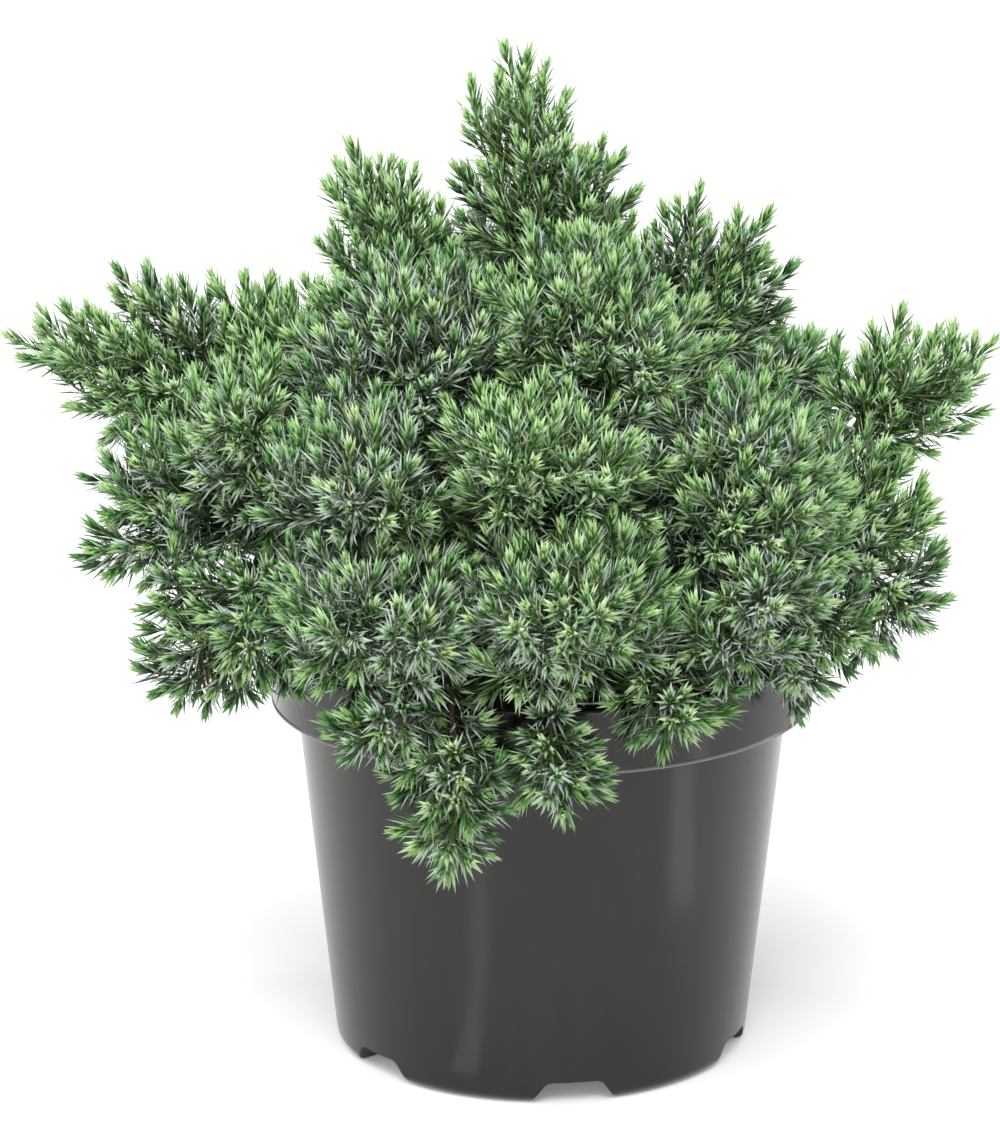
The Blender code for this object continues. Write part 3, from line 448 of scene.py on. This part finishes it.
def turned_body(profile):
    """A disc drawn out ring by ring into a closed body, from (radius, height) pairs."""
    deselect()
    radius, height = profile[0]
    bpy.ops.mesh.primitive_circle_add(vertices=POT_SEGMENTS, radius=radius, fill_type="NGON",
                                      location=(0.0, 0.0, height))
    body = bpy.context.object
    bpy.ops.object.transform_apply(location=True, rotation=True, scale=True)
    bpy.ops.object.mode_set(mode="EDIT")
    bpy.ops.mesh.select_all(action="SELECT")
    for (radius, height), (next_radius, next_height) in zip(profile, profile[1:]):
        bpy.ops.mesh.extrude_region_move(TRANSFORM_OT_translate={"value": (0.0, 0.0, next_height - height)})
        grow = next_radius / radius
        bpy.ops.transform.resize(value=(grow, grow, 1.0), center_override=(0.0, 0.0, next_height))
    bpy.ops.mesh.select_all(action="SELECT")
    bpy.ops.mesh.remove_doubles(threshold=0.005 * MM)
    bpy.ops.mesh.normals_make_consistent(inside=False)
    bpy.ops.object.mode_set(mode="OBJECT")
    return body


def rounded(start, corner, end, radius):
    """Points of a rounded corner of a profile, from the side of start to the side of end."""
    corner = Vector(corner)
    first = (Vector(start) - corner).normalized()
    last = (Vector(end) - corner).normalized()
    half = first.angle(last) / 2
    run = radius / math.tan(half)
    middle = corner + (first + last).normalized() * radius / math.sin(half)
    begin = (corner + first * run - middle).normalized()
    finish = (corner + last * run - middle).normalized()
    ways = [begin.slerp(finish, step / ROUNDING_STEPS) for step in range(ROUNDING_STEPS + 1)]
    return [tuple(middle + way * radius) for way in ways]


def with_corners(*corners):
    """A profile through (radius, height, rounding) corners, where a rounding of 0 is sharp."""
    points = [corner[:2] for corner in corners]
    profile = [points[0]]
    for before, point, after, corner in zip(points, points[1:], points[2:], corners[1:]):
        rounding = corner[2]
        profile += rounded(before, point, after, rounding) if rounding else [point]
    return profile + [points[-1]]


def inner_radius(height):
    """Radius of the pot's wall inside, at a height."""
    share = height / (RIM_TOP - COLLAR_HEIGHT)
    return WALL_FOOT_RADIUS + (WALL_TOP_RADIUS - WALL_FOOT_RADIUS) * share - WALL


def channel_cutter(azimuth, grow):
    """A drain channel with its roof narrower than its mouth and its roof edges rounded."""
    top = CHANNEL_HEIGHT + grow
    inner = CHANNEL_INNER - grow
    below = 2.0 * MM
    length = CHANNEL_OUTER - inner
    slope = (CHANNEL_MOUTH - CHANNEL_ROOF) / CHANNEL_HEIGHT
    roof = CHANNEL_ROOF + 2 * grow
    mouth = roof + slope * (top + below)
    deselect()
    bpy.ops.mesh.primitive_cube_add(size=1.0, location=(0.0, -(inner + length / 2), (top - below) / 2))
    cutter = bpy.context.object
    cutter.scale = (mouth, length, top + below)
    bpy.ops.object.transform_apply(location=True, rotation=True, scale=True)
    bpy.ops.object.mode_set(mode="EDIT")
    bpy.ops.mesh.select_all(action="DESELECT")
    bpy.ops.object.mode_set(mode="OBJECT")
    for vert in cutter.data.vertices:
        vert.select = vert.co.z > 0.0
    for edge in cutter.data.edges:
        edge.select = all(cutter.data.vertices[index].select for index in edge.vertices)
    bpy.ops.object.mode_set(mode="EDIT")
    bpy.ops.transform.resize(value=(roof / mouth, 1.0, 1.0), center_override=(0.0, 0.0, 0.0))
    bpy.ops.mesh.bevel(offset=CHANNEL_EDGE, segments=3, affect="EDGES")
    bpy.ops.object.mode_set(mode="OBJECT")
    cutter.data.transform(Matrix.Rotation(azimuth, 4, "Z"))
    return cutter


def drain_hole_cutter(azimuth):
    """A cylinder that cuts a drain hole through a channel's roof."""
    deselect()
    middle = (math.sin(azimuth) * DRAIN_HOLE_OUT, -math.cos(azimuth) * DRAIN_HOLE_OUT,
              CHANNEL_HEIGHT + WALL / 2)
    bpy.ops.mesh.primitive_cylinder_add(vertices=24, radius=DRAIN_HOLE_RADIUS, depth=3 * WALL,
                                        location=middle)
    bpy.ops.object.transform_apply(location=True, rotation=True, scale=True)
    return bpy.context.object


def cut(piece, cutters):
    """Cut pieces out of a piece, and remove them."""
    for cutter in cutters:
        apply_modifier(piece, "BOOLEAN", operation="DIFFERENCE", object=cutter, solver="EXACT")
        bpy.data.objects.remove(cutter)


def make_pot(plastic, bead_highlight_plastic):
    """The pot: thin turned wall with a stepped collar, drain channels and holes in its base."""
    collar_foot = RIM_TOP - COLLAR_HEIGHT
    collar_radius = RIM_RADIUS - COLLAR_DRAFT
    bead = collar_radius + BEAD_PROUD
    bead_top = collar_foot + 2 * BEAD_HEIGHT
    outside = with_corners(
        (CHANNEL_INNER - 3 * WALL, 0.0, 0),
        (WALL_FOOT_RADIUS, 0.0, CORNER_RADIUS),
        (WALL_TOP_RADIUS, collar_foot, COLLAR_FILLET),
        (bead, collar_foot, BEAD_LOWER_EDGE),
        (bead, collar_foot + BEAD_HEIGHT, BEAD_UPPER_EDGE),
        (collar_radius, bead_top, BEAD_UPPER_EDGE),
        (RIM_RADIUS, RIM_TOP, RIM_EDGE),
        (RIM_RADIUS - WALL, RIM_TOP, 0))
    above = RIM_TOP + 2 * MM
    ledge = collar_foot + WALL
    inside = with_corners(
        (HOLLOW_DISC, FLOOR, 0),
        (inner_radius(FLOOR), FLOOR, CORNER_RADIUS - WALL),
        (inner_radius(collar_foot), ledge, 0),
        (RIM_RADIUS - WALL - COLLAR_DRAFT, ledge, 0),
        (RIM_RADIUS - WALL, above, 0),
        (HOLLOW_DISC, above, 0))
    azimuths = [CHANNEL_AZIMUTH + math.tau * turn / CHANNELS for turn in range(CHANNELS)]
    hollow = turned_body(inside)
    cut(hollow, [channel_cutter(azimuth, WALL) for azimuth in azimuths])
    pot = turned_body(outside)
    cut(pot, [channel_cutter(azimuth, 0.0) for azimuth in azimuths])
    cut(pot, [hollow])
    cut(pot, [drain_hole_cutter(azimuth) for azimuth in azimuths])
    only(pot)
    bpy.ops.object.shade_smooth_by_angle(angle=math.radians(35))
    apply_modifier(pot, "WEIGHTED_NORMAL", keep_sharp=True)
    set_materials(pot, plastic, bead_highlight_plastic)
    # The bead is painted paler than the wall: a painted highlight for the light line along the collar's
    # lower edge
    for face in pot.data.polygons:
        out = math.hypot(face.center.x, face.center.y)
        if out > collar_radius + 0.05 * MM and collar_foot + 0.1 * MM < face.center.z < bead_top:
            face.material_index = 1
    finish_piece(pot, "pot_shell", ["pot"])


def mesh_object(name, points, faces, materials, material_index):
    """An object from arrays of points, of three-cornered faces and of each face's material."""
    mesh = bpy.data.meshes.new(name)
    for material in materials:
        mesh.materials.append(material)
    mesh.vertices.add(len(points))
    mesh.vertices.foreach_set("co", np.ascontiguousarray(points, dtype=np.float32).ravel())
    mesh.loops.add(faces.size)
    mesh.loops.foreach_set("vertex_index", np.ascontiguousarray(faces, dtype=np.int32).ravel())
    mesh.polygons.add(len(faces))
    mesh.polygons.foreach_set("loop_start", np.arange(len(faces), dtype=np.int32) * 3)
    mesh.polygons.foreach_set("material_index", material_index.astype(np.int32))
    mesh.update(calc_edges=True)
    return link(name, mesh)


def repeated(faces, points_each, count):
    """The faces of one small form, numbered on for each of its copies."""
    numbered = np.array(faces)[None] + (np.arange(count) * points_each)[:, None, None]
    return numbered.reshape(-1, 3)


def make_crumbs(material):
    """Crumbs of peat and bark that lie on the compost, each a rough lump."""
    chance = np.random.default_rng(5)
    deselect()
    bpy.ops.mesh.primitive_ico_sphere_add(subdivisions=1, radius=1.0)
    lump = bpy.context.object
    form = np.array([vert.co for vert in lump.data.vertices])
    sides = [list(face.vertices) for face in lump.data.polygons]
    bpy.data.objects.remove(lump)
    out = SOIL_RADIUS * CRUMB_SPREAD * np.sqrt(chance.random(CRUMBS))
    turn = chance.random(CRUMBS) * math.tau
    size = chance.uniform(0.7, 1.0, (CRUMBS, 3))
    size = size * chance.choice(CRUMB_SIZES, (CRUMBS, 1), p=CRUMB_SHARES) * MM
    size[:, 1] *= chance.uniform(*CRUMB_STRETCH, CRUMBS)
    drop = SOIL_EDGE_DROP * np.clip((out - SOIL_FLAT) / (SOIL_RADIUS - SOIL_FLAT), 0, 1)
    height = SOIL_TOP - drop + 0.2 * size[:, 2]
    middle = np.stack([out * np.cos(turn), out * np.sin(turn), height], axis=1)
    spin = chance.random(CRUMBS) * math.tau
    cosine, sine = np.cos(spin)[:, None], np.sin(spin)[:, None]
    lumps = form[None] * size[:, None] * chance.uniform(0.75, 1.25, (CRUMBS, len(form), 1))
    along = lumps[..., 0] * cosine - lumps[..., 1] * sine
    across = lumps[..., 0] * sine + lumps[..., 1] * cosine
    points = np.stack([along, across, lumps[..., 2]], axis=2) + middle[:, None]
    faces = repeated(sides, len(form), CRUMBS)
    piece = mesh_object("crumbs", points.reshape(-1, 3), faces, [material], np.zeros(len(faces)))
    finish_piece(piece, "compost_crumbs")


def make_limbs(material):
    """Trunk and boughs as one body with the bark's relief."""
    names = limb_names()
    copies = [link("limb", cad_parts[name].data.copy()) for name in names]
    deselect()
    for copy in copies:
        copy.select_set(True)
    bpy.context.view_layer.objects.active = copies[0]
    bpy.ops.object.join()
    limbs = bpy.context.object
    bpy.ops.object.mode_set(mode="EDIT")
    bpy.ops.mesh.select_all(action="SELECT")
    bpy.ops.mesh.remove_doubles(threshold=0.01 * MM)
    bpy.ops.object.mode_set(mode="OBJECT")
    apply_modifier(limbs, "REMESH", mode="VOXEL", voxel_size=LIMB_VOXEL)
    apply_modifier(limbs, "SMOOTH", factor=0.5, iterations=3)
    ridges = bpy.data.textures.new("bark_ridges", "CLOUDS")
    ridges.noise_scale = BARK_RIDGES
    ridges.noise_depth = 3
    apply_modifier(limbs, "DISPLACE", texture=ridges, texture_coords="LOCAL", strength=BARK_RELIEF * 2,
                   mid_level=0.5)
    only(limbs)
    bpy.ops.object.shade_smooth()
    set_materials(limbs, material)
    finish_piece(limbs, "trunk_and_boughs", names)


class Lobe:
    """The egg-shaped space round the line from a mass's start to one of its tips."""

    def __init__(self, mass, dense, start, tip, half_width):
        self.mass = mass
        self.start = start
        self.tip = tip
        self.half_width = half_width
        self.length = (tip - start).length
        self.axis = (tip - start).normalized()
        self.middle = start.lerp(tip, LOBE_MIDDLE)
        self.half_length = self.length * (1 - LOBE_MIDDLE)
        self.hanging = self.axis.z < HANGING_SLOPE
        if self.hanging:
            self.slack = HANGING_SLACK
        else:
            self.slack = OUTER_SLACK if dense else OPEN_SLACK

    def depth(self, point):
        """Nought in the middle of the space and one on its surface."""
        offset = point - self.middle
        along = offset.dot(self.axis)
        out = (offset - self.axis * along).length
        return math.hypot(along / self.half_length, out / self.half_width)


def lobes_of(mass, dense, start, tips):
    """The lobes of one mass, from measures in millimetres."""
    return [Lobe(mass, dense, Vector(start) * MM, Vector(tip[:3]) * MM, tip[3] * MM) for tip in tips]


def turned_way(axis, lean, azimuth):
    """A direction at an angle from an axis, turned about it and lifted towards the light."""
    side = axis.orthogonal().normalized()
    across = axis.cross(side)
    out = side * math.cos(azimuth) + across * math.sin(azimuth)
    return (axis * math.cos(lean) + out * math.sin(lean) + UP * LIFT).normalized()


def face_tree(names):
    """A search tree of the faces of several nodes."""
    points = []
    faces = []
    for name in names:
        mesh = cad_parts[name].data
        first = len(points)
        points += [vert.co.copy() for vert in mesh.vertices]
        faces += [[first + index for index in face.vertices] for face in mesh.polygons]
    return BVHTree.FromPolygons(points, faces)


class Surroundings:
    """The spaces of all the masses, and the solids that twigs and shoots keep clear of."""

    def __init__(self, lobes):
        self.lobes = lobes
        self.limbs = face_tree(limb_names())
        self.pot = face_tree(["pot", "soil"])
        self.tips = {}          # of the shoots so far, by the cell of space that they lie in

    def owned(self, lobe, point):
        """Whether a point lies in a lobe's reach, and no other mass has a better claim to it.

        The nearer the crown's middle, the further past its own space a lobe may fill.
        """
        offset = point - CROWN_MIDDLE
        shares = [value / half for value, half in zip(offset, CROWN_HALF_SIZES)]
        inwards = max(0.0, 1 - Vector(shares).length)
        claim = lobe.depth(point)
        if claim > lobe.slack + INNER_SLACK * inwards:
            return False
        return all(claim <= other.depth(point) + MINGLE for other in self.lobes if other.mass != lobe.mass)

    def reach(self, lobe, point, way):
        """How far one can go from a point before leaving the lobe's own space."""
        length = 0.0
        while self.owned(lobe, point + way * (length + REACH_STEP)):
            length += REACH_STEP
        return length

    def blocked(self, start, end, from_limb=0.0):
        """Whether a straight line passes too near a limb, the pot or the soil."""
        count = max(2, round((end - start).length / SIGHT_STEP))
        for step in range(count + 1):
            point = start.lerp(end, step / count)
            if self.pot.find_nearest(point, POT_CLEARANCE)[0]:
                return True
            if (point - start).length > from_limb and self.limbs.find_nearest(point, LIMB_CLEARANCE)[0]:
                return True
        return False

    def crowded(self, tip):
        """Whether another shoot ends too near, and if not, note this one."""
        cell = tuple(math.floor(value / TIP_CLEARANCE) for value in tip)
        for shift in itertools.product((-1, 0, 1), repeat=3):
            near = tuple(place + by for place, by in zip(cell, shift))
            if any((other - tip).length < TIP_CLEARANCE for other in self.tips.get(near, ())):
                return True
        self.tips.setdefault(cell, []).append(tip)
        return False


class Growth:
    """The twigs and shoots of one group of masses."""

    def __init__(self, around):
        self.around = around
        self.twigs = []
        self.shoots = []

    def shoot(self, base, tip, habit):
        """A shoot clothed with needles, which curves up to its tip."""
        bend = base.lerp(tip, 0.5) - UP * SHOOT_SWEEP * (tip - base).length
        self.shoots.append(Shoot(base, bend, tip, habit))
        self.twigs.append(Twig([base, bend, tip], *SHOOT_RADII, False))

    def side_shoots(self, lobe, base, way, length, habit, chance):
        """Shoots along a twig, each turned on from the last."""
        shortest, longest = SIDE_SHOOT_RANGE
        turn = chance.uniform(0, math.tau)
        position = max(BARE_FOOT * length, length - SHOOTS_BACK)
        while position < length - SHOOTS_END:
            reach = min(longest, shortest + (length - position) * SHOOT_GROWTH)
            reach *= chance.uniform(*SHOOT_CHANCE)
            lean = SHOOT_ANGLE * chance.uniform(*ANGLE_CHANCE)
            direction = turned_way(way, lean, turn)
            if not lobe.hanging:
                direction = (direction + UP * SHOOT_LIFT).normalized()
            start = base + way * position
            tip = start + direction * reach
            ahead = tip + direction * TIP_INSET
            if self.around.owned(lobe, ahead) and not self.around.blocked(start, ahead) \
                    and not self.around.crowded(tip):
                self.shoot(start, tip, habit)
            turn += GOLDEN_ANGLE
            position += SHOOT_SPACING * chance.uniform(*SPACING_CHANCE)

    def twig(self, lobe, base, way, reach, habit, chance):
        """A twig with side shoots, its outer part a shoot itself."""
        for share in REACH_SHARES:
            length = reach * share - TIP_INSET
            if length < TWIG_SHORTEST:
                return
            tip = base + way * length
            if not self.around.blocked(base, tip + way * TIP_INSET, TWIG_ROOT):
                break
        else:
            return
        if self.around.crowded(tip):
            return
        clothed = min(SHOOT_LENGTH, length)
        start = base + way * (length - clothed)
        if length > clothed:
            self.twigs.append(Twig([base, base.lerp(start, 0.5), start], *TWIG_RADII, True))
        self.shoot(start, tip, habit)
        self.side_shoots(lobe, base, way, length, habit, chance)

    def fill(self, lobe, number, fork):
        """A bowed stem from the fork to the lobe's tip, with twigs all round it."""
        chance = random.Random(f"{lobe.mass}/{number}")
        top = lobe.tip - lobe.axis * TIP_INSET
        bow = Vector([chance.uniform(-1, 1) for _ in range(3)]) * STEM_BOW * lobe.length
        stem = [fork, fork.lerp(top, 0.5) + bow, top]
        span = (stem[2] - stem[1]).length
        leader = min(SHOOT_LENGTH, span * LEADER_SHARE)
        bare = stem[2].lerp(stem[1], leader / span)
        self.twigs.append(Twig([stem[0], stem[1], bare], STEM_ROOT_RADIUS, STEM_TIP_RADIUS, True))
        blue = BLUE_PULL * min(1.0, max(0.0, (GREEN_HEIGHT - lobe.tip.z) / BLUE_DEPTH))
        habit = blue + (1 - blue) * chance.uniform(*HABIT_RANGE)
        # The stem's own tip is noted too, so that its neighbours leave it room
        self.around.crowded(top)
        self.shoot(bare, top, habit)
        count = round(lobe.length / TWIG_SPACING)
        phase = chance.uniform(0, math.tau)
        low, high = SIDE_ANGLE_RANGE
        for index in range(count):
            share = FIRST_TWIG + TWIG_STRETCH * (index + 0.5) / count
            half = 0 if share < 0.5 else 1
            base = stem[half].lerp(stem[half + 1], 2 * share - half)
            way = turned_way(lobe.axis, low + (high - low) * share, phase + index * GOLDEN_ANGLE)
            way = turned_way(way, abs(chance.gauss(0, STRAY_ANGLE)), chance.uniform(0, math.tau))
            reach = self.around.reach(lobe, base, way) * (1 - REACH_LOSS * chance.random() ** LOSS_BIAS)
            spray = min(HABIT_TOP, max(0.0, habit + chance.gauss(0, SPRAY_SPREAD)))
            self.twig(lobe, base, way, reach, spray, chance)


def along_curve(start, bend, tip, share):
    """Points and unit directions on quadratic curves, from arrays of ends and shares."""
    share = share[:, None]
    rest = 1 - share
    point = rest ** 2 * start + 2 * rest * share * bend + share ** 2 * tip
    way = rest * (bend - start) + share * (tip - bend)
    return point, way / np.linalg.norm(way, axis=1, keepdims=True)


def cross_frame(way):
    """Two unit vectors square to each direction and to each other."""
    guide = np.where(np.abs(way[:, 2:3]) < 0.8, [[0.0, 0.0, 1.0]], [[1.0, 0.0, 0.0]])
    side = np.cross(way, guide)
    side /= np.linalg.norm(side, axis=1, keepdims=True)
    return side, np.cross(way, side)


def place_whorls(length, chance):
    """For every whorl of shoots this long: its shoot, its number, and its place back from the tip."""
    growth = WHORL_SPACING_GROWTH
    whorls = (np.sqrt(1 + 4 * growth * length / FIRST_WHORL_SPACING) - 1) / (2 * growth)
    whorls = np.maximum(FEWEST_WHORLS, np.round(whorls)).astype(int)
    shoot = np.repeat(np.arange(len(length)), whorls)
    order = np.arange(len(shoot)) - np.repeat(np.cumsum(whorls) - whorls, whorls)
    passed = (order + chance.uniform(-WHORL_STRAY, WHORL_STRAY, len(order))).clip(0)
    back = (passed + growth * passed ** 2) * FIRST_WHORL_SPACING
    return shoot, order, np.minimum(back, length[shoot])


def needle_finishes(back, habit, chance):
    """The finish of each needle's inner face and of its back: two to an age, plain and bloomed, with fewer
    bloomed further back on a shoot as painted shade.
    """
    depth = back * chance.uniform(*AGE_CHANCE, len(back))
    age = np.where(habit > BLUE_HABIT, BLUE, GREEN)
    age = np.where((depth < SPRING_DEPTH) & (habit < SPRING_HABIT), SPRING, age)
    age = np.where(depth < FRESH_DEPTH, np.where(habit < FRESH_HABIT, FRESH, SPRING), age)
    age = np.where((chance.random(len(back)) < STRAW_SHARE) & (depth > SPRING_DEPTH), STRAW, age)
    # Fewer pale bloomed faces further back on each shoot: painted shade that darkens the inside of the
    # masses
    bloom = np.where(depth < SPRING_DEPTH, *BLOOM_AND_PAINTED_SHADE_SHARES) + BLUE_BLOOM * (habit > SPRING_HABIT)
    bloomed = chance.random(len(back)) < bloom
    return age * 2 + bloomed, age * 2


def make_needles(name, shoots, materials, nodes, seed):
    """Whorls of needles on every shoot, each needle a slim four-faced blade."""
    chance = np.random.default_rng(seed)
    start, bend, tip, habit = (np.array(values) for values in zip(*shoots))
    length = np.linalg.norm(tip - start, axis=1)
    shoot, order, back = place_whorls(length, chance)
    twist = chance.random(len(shoots))[shoot] * math.tau + order * WHORL_TURN
    shoot, back, twist = (np.repeat(values, NEEDLES_IN_WHORL) for values in (shoot, back, twist))
    count = len(shoot)
    twist = twist + np.tile(np.arange(NEEDLES_IN_WHORL), len(order)) * math.tau / NEEDLES_IN_WHORL
    twist = twist + chance.normal(0, TURN_STRAY, count)
    point, way = along_curve(start[shoot], bend[shoot], tip[shoot], 1 - back / length[shoot])
    side, across = cross_frame(way)
    out = side * np.cos(twist)[:, None] + across * np.sin(twist)[:, None]
    vigour = chance.uniform(*VIGOUR, len(shoots))[shoot]
    lean = np.interp(back, NEEDLE_PLACES, NEEDLE_ANGLES) + chance.normal(0, ANGLE_STRAY, count)
    size = np.interp(back, NEEDLE_PLACES, NEEDLE_LENGTHS) * vigour * chance.uniform(*LENGTH_CHANCE, count)
    width = np.interp(back, NEEDLE_PLACES, NEEDLE_WIDTHS) * chance.uniform(*WIDTH_CHANCE, count)
    cosine, sine, size, width = (values[:, None] for values in (np.cos(lean), np.sin(lean), size, width))
    forward = way * cosine + out * sine
    inwards = way * sine - out * cosine
    flank = np.cross(way, out)
    base = point + out * NEEDLE_ROOT
    shoulder = base + forward * size * SHOULDER + inwards * NEEDLE_THICKNESS
    end = base + forward * size + inwards * size * NEEDLE_CURL
    points = np.stack([base, shoulder - flank * width / 2, shoulder + flank * width / 2, end], axis=1)
    # Two faces on the needle's inner side, then two on its green back
    faces = repeated([[0, 1, 2], [1, 3, 2], [0, 3, 1], [0, 2, 3]], 4, count)
    inner_face, outer_face = needle_finishes(back, habit[shoot], chance)
    finishes = np.stack([inner_face, inner_face, outer_face, outer_face], axis=1)
    piece = mesh_object(name, points.reshape(-1, 3), faces, materials, finishes.ravel())
    finish_piece(piece, name, nodes)


def make_twigs(name, twigs, materials):
    """Slim three-sided twigs, woody where old and green where they carry needles."""
    paths, root_radii, tip_radii, woody = zip(*twigs)
    path = np.array([[list(point) for point in path] for path in paths])
    root_radii, tip_radii = np.array(root_radii), np.array(tip_radii)
    radii = (root_radii, (root_radii + tip_radii) / 2, tip_radii)
    corners = []
    for share, radius in zip((0.0, 0.5, 1.0), radii):
        point, way = along_curve(path[:, 0], path[:, 1], path[:, 2], np.full(len(twigs), share))
        side, across = cross_frame(way)
        for corner in range(TWIG_SIDES):
            angle = math.tau * corner / TWIG_SIDES
            out = side * math.cos(angle) + across * math.sin(angle)
            corners.append(point + out * radius[:, None])
    points = np.stack(corners, axis=1)
    sides = []
    for ring, corner in itertools.product(range(2), range(TWIG_SIDES)):
        here = ring * TWIG_SIDES + corner
        there = ring * TWIG_SIDES + (corner + 1) % TWIG_SIDES
        sides += [[here, there, there + TWIG_SIDES], [here, there + TWIG_SIDES, here + TWIG_SIDES]]
    sides += [[2, 1, 0], [6, 7, 8]]
    faces = repeated(sides, len(corners), len(twigs))
    finish = np.repeat(np.where(woody, 0, 1), len(sides))
    piece = mesh_object(name, points.reshape(-1, 3), faces, materials, finish)
    finish_piece(piece, name)


def make_foliage(bark):
    """Grow every mass, and join needles and twigs into a few pieces each."""
    lobes = {name: lobes_of(name, *mass) for group in MASSES.values() for name, mass in group.items()}
    around = Surroundings([lobe for several in lobes.values() for lobe in several])
    needle_wax = []
    for age, back, face in NEEDLE_COLOURS:
        needle_wax += [waxy_needle("needle_back_" + age, back), waxy_needle("needle_face_" + age, face)]
    green_wood, _, _ = new_material("green_twig_rind", "#6E7F45", 0.6)
    twigs = []
    for seed, (group, masses) in enumerate(MASSES.items()):
        growth = Growth(around)
        for name in masses:
            axis = sum((lobe.axis for lobe in lobes[name]), Vector()).normalized()
            fork = lobes[name][0].start + axis * NECK
            for number, lobe in enumerate(lobes[name]):
                growth.fill(lobe, number, fork)
        nodes = ["foliage_" + name for name in masses]
        make_needles("needles_" + group, growth.shoots, needle_wax, nodes, seed)
        twigs += growth.twigs
    make_twigs("twigs", twigs, [bark, green_wood])


def area_light(name, place, turn, size, power):
    """A rectangular softbox, which shines down until it is turned."""
    lamp = bpy.data.lights.new(name, "AREA")
    lamp.shape = "RECTANGLE"
    lamp.size, lamp.size_y = size
    lamp.energy = power
    made = link(name, lamp)
    made.location = place
    made.rotation_euler = turn


def light_stage():
    """Soft light from above and from both sides, and low strips that the pot's wall mirrors."""
    world = bpy.data.worlds.new("studio_air")
    world.use_nodes = True
    air = world.node_tree.nodes["Background"]
    air.inputs["Color"].default_value = linear("#FFFFFF")
    air.inputs["Strength"].default_value = AIR_GLOW
    bpy.context.scene.world = world
    for name, (place, size, power) in SOFTBOXES.items():
        facing = (Vector(AIM) - Vector(place)).to_track_quat("-Z", "Y").to_euler()
        area_light(name, place, facing, size, power)
    ray = Vector((math.sin(FRONT_GLOW_AZIMUTH), -math.cos(FRONT_GLOW_AZIMUTH), 0.0))
    for number, (distance, width) in enumerate(FRONT_GLOWS, start=1):
        place = ray * distance + UP * GLOW_HEIGHT
        area_light(f"front_glow_{number}", place, (math.pi, 0.0, FRONT_GLOW_TURN),
                   (width, FRONT_GLOW_LENGTH), FRONT_GLOW_POWER * width)
    area_light("right_glow", RIGHT_GLOW_PLACE, (math.pi, 0.0, RIGHT_GLOW_TURN), RIGHT_GLOW_SIZE,
               RIGHT_GLOW_POWER)
    ceiling = bpy.data.lights.new("ceiling", "SUN")
    ceiling.energy = CEILING_POWER
    ceiling.angle = CEILING_SPREAD
    link("ceiling", ceiling).rotation_euler = CEILING_TILT


def make_studio():
    """Pale floor, soft light and the camera."""
    deselect()
    bpy.ops.mesh.primitive_plane_add(size=FLOOR_WIDTH, location=(0.0, 0.0, -FLOOR_DROP))
    floor = bpy.context.object
    floor.name = "floor"
    table, _, shader = new_material("white_lit_table", "#F4F4F3", 0.9)
    shader.inputs["Emission Color"].default_value = linear("#FFFFFF")
    shader.inputs["Emission Strength"].default_value = TABLE_GLOW
    floor.data.materials.append(table)
    light_stage()
    lens = bpy.data.cameras.new("camera")
    lens.sensor_fit = "HORIZONTAL"
    lens.sensor_width = SENSOR_WIDTH
    lens.lens = FOCAL_LENGTH
    lens.clip_start = 0.05
    camera = link("camera", lens)
    camera.location = CAMERA_PLACE
    camera.rotation_euler = (math.radians(90 - CAMERA_DIP), 0.0, 0.0)
    bpy.context.scene.camera = camera
    bpy.context.scene.view_settings.view_transform = "Standard"


make_studio()
plastic = moulded_polypropylene()
# Paler plastic for the collar's bead, a painted highlight
bead_highlight_plastic, _, _ = new_material("painted_highlight_polypropylene", "#6F6A68", 0.3)
make_pot(plastic, bead_highlight_plastic)
compost = peat_compost()
set_materials(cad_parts["soil"], compost)
make_crumbs(compost)
bark = juniper_bark()
make_limbs(bark)
make_foliage(bark)
